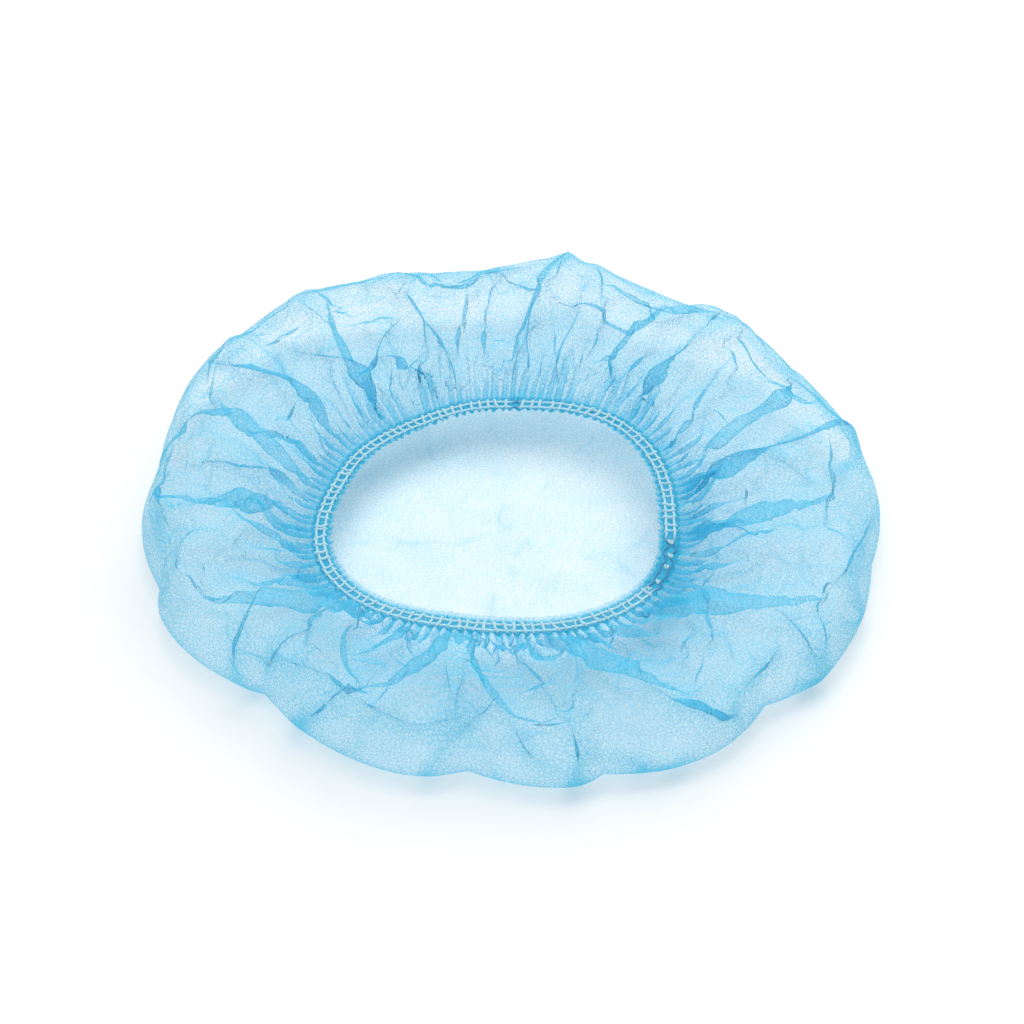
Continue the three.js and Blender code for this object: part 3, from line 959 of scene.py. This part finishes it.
def cloth_material():
    material = start_material("nonwoven")
    add, sum_up = adder(material)
    flat = add("ShaderNodeAttribute", {}, attribute_name="flat").outputs["Vector"]
    layers_and_shade = add("ShaderNodeAttribute", {}, attribute_name="layers_and_shade").outputs["Fac"]
    stray = add("ShaderNodeTexNoise", {"Vector": flat, "Scale": STRAY_SCALE, "Detail": 0},
                noise_dimensions="2D")
    shift = add("ShaderNodeVectorMath", {0: stray.outputs["Color"], 1: STRAY_REACH},
                operation="MULTIPLY")
    bent = add("ShaderNodeVectorMath", {0: flat, 1: shift.outputs[0]}, operation="ADD").outputs[0]
    web = add("ShaderNodeTexVoronoi", {"Vector": bent, "Scale": WEB_SCALE},
              feature="DISTANCE_TO_EDGE", voronoi_dimensions="2D")
    strands = add("ShaderNodeMapRange",
                  {"Value": web.outputs["Distance"], "From Min": 0.0, "From Max": 0.22,
                   "To Min": 1.0, "To Max": 0.0}, interpolation_type="SMOOTHSTEP")
    fibres = add("ShaderNodeTexNoise", {"Vector": bent, "Scale": FIBRE_SCALE, "Detail": 1},
                 noise_dimensions="2D")
    clouds = add("ShaderNodeTexNoise", {"Vector": flat, "Scale": CLOUD_SCALE, "Detail": 1},
                 noise_dimensions="2D")
    grain = sum_up("MULTIPLY_ADD", fibres.outputs["Fac"], 2.2, -1.1)
    weight = sum_up("MULTIPLY_ADD", strands.outputs[0], 1.15, 0.45)
    weight = sum_up("ADD", weight, grain)
    weight = sum_up("ADD", weight, sum_up("MULTIPLY_ADD", clouds.outputs["Fac"], 0.5, -0.25))
    far_bent = add("ShaderNodeVectorMath", {0: packing_wander(add, flat), 1: flat},
                   operation="ADD").outputs[0]
    packing = add("ShaderNodeTexVoronoi", {"Vector": far_bent, "Scale": PACKING_SCALE},
                  feature="DISTANCE_TO_EDGE", voronoi_dimensions="2D")
    creased = add("ShaderNodeMapRange",
                  {"Value": packing.outputs["Distance"], "From Min": 0.0, "From Max": 0.03,
                   "To Min": 1.0, "To Max": 0.0}, interpolation_type="SMOOTHSTEP")
    faded = add("ShaderNodeMapRange", {"Value": clouds.outputs["Fac"], "From Min": 0.4, "From Max": 0.65})
    crease = sum_up("MULTIPLY", creased.outputs[0], faded.outputs[0])
    weight = sum_up("MULTIPLY_ADD", crease, PACKING_WEIGHT, weight)
    weight = sum_up("MAXIMUM", weight, 0.12)
    facing = add("ShaderNodeLayerWeight", {"Blend": 0.5}).outputs["Facing"]
    head_on = sum_up("MAXIMUM", sum_up("SUBTRACT", 1.0, facing), 0.25)
    depth = sum_up("DIVIDE", sum_up("MULTIPLY", weight, layers_and_shade), head_on)
    cover = sum_up("SUBTRACT", 1.0, sum_up("POWER", BARE_TRANSMISSION, depth))
    paleness = add("ShaderNodeMapRange", {"Value": weight, "From Min": 0.3, "From Max": 1.7,
                                          "To Min": 0.35, "To Max": 0.0})
    colour = add("ShaderNodeMix", {0: paleness.outputs[0], 6: DEEP_BLUE, 7: PALE_BLUE}, data_type="RGBA")
    # Past five layers the cloth turns a darker teal: partly the depth of densely gathered cloth, partly
    # painted shade, most of all in the band between the elastic threads.
    bunched = add("ShaderNodeMapRange", {"Value": layers_and_shade, "From Min": 5.0, "From Max": 11.0})
    colour = add("ShaderNodeMix", {0: bunched.outputs[0], 6: colour.outputs[2], 7: DEEP_AND_SHADED_TEAL},
                 data_type="RGBA")
    relief = add("ShaderNodeBump", {"Height": fibres.outputs["Fac"], "Strength": 0.5, "Distance": 0.0002})
    face = add("ShaderNodeBsdfPrincipled", {"Base Color": colour.outputs[2], "Roughness": 0.55,
                                            "Sheen Weight": 0.2, "Sheen Roughness": 0.4,
                                            "Normal": relief.outputs[0]})
    through = add("ShaderNodeBsdfTranslucent", {"Color": THROUGH_BLUE, "Normal": relief.outputs[0]})
    solid = add("ShaderNodeMixShader", {0: THROUGH_SHARE, 1: face.outputs[0], 2: through.outputs[0]})
    many = add("ShaderNodeMapRange", {"Value": layers_and_shade, "From Min": 1.2, "From Max": 6.0})
    tint = add("ShaderNodeMix", {0: many.outputs[0], 6: (1, 1, 1, 1), 7: GATHER_TINT}, data_type="RGBA")
    gaps = add("ShaderNodeBsdfTransparent", {"Color": tint.outputs[2]})
    both = add("ShaderNodeMixShader", {0: cover, 1: gaps.outputs[0], 2: solid.outputs[0]})
    add("ShaderNodeOutputMaterial", {"Surface": both.outputs[0]})
    return material


cap.data.materials.append(cloth_material())

# %% [markdown]
# ## Thread and elastic
# Both are pale polyester yarn, whiter than the cloth. The yarn's twist shows as a fine slanted ripple,
# and where the cloth is bunched over the thread at the join it takes on the cloth's deep blue.

# %% Thread material
YARN_WHITE = (0.78, 0.98, 1.0, 1)
SEWING_WHITE = (0.76, 0.97, 1.0, 1)
CLOTH_BETWEEN = (0.25, 0.66, 0.84, 1)
BURIED_BLUE = (0.02, 0.36, 0.60, 1)


def thread_material(name, pale, twist_scale):
    material = start_material(name)
    add, sum_up = adder(material)
    place = add("ShaderNodeTexCoord", {}).outputs["Object"]
    buried = add("ShaderNodeAttribute", {}, attribute_name="buried").outputs["Fac"]
    twist = add("ShaderNodeTexWave", {"Vector": place, "Scale": twist_scale, "Distortion": 3, "Detail": 1})
    patches = add("ShaderNodeTexNoise", {"Vector": place, "Scale": 700, "Detail": 2})
    stained = sum_up("MULTIPLY_ADD", patches.outputs["Fac"], 0.9, -0.33)
    yarn = add("ShaderNodeMix", {0: stained, 6: pale, 7: CLOTH_BETWEEN}, data_type="RGBA",
               clamp_factor=True)
    colour = add("ShaderNodeMix", {0: buried, 6: yarn.outputs[2], 7: BURIED_BLUE}, data_type="RGBA")
    relief = add("ShaderNodeBump", {"Height": twist.outputs["Fac"], "Strength": 0.5, "Distance": 0.0001})
    face = add("ShaderNodeBsdfPrincipled", {"Base Color": colour.outputs[2], "Roughness": 0.4,
                                            "Sheen Weight": 0.8, "Normal": relief.outputs[0]})
    through = add("ShaderNodeBsdfTranslucent", {"Color": colour.outputs[2]})
    solid = add("ShaderNodeMixShader", {0: 0.4, 1: face.outputs[0], 2: through.outputs[0]})
    add("ShaderNodeOutputMaterial", {"Surface": solid.outputs[0]})
    return material


wound_yarn = thread_material("wound_elastic_yarn", YARN_WHITE, 900)
for thread in elastics:
    thread.data.materials.append(wound_yarn)
sewing.data.materials.append(thread_material("sewing_thread", SEWING_WHITE, 1300))
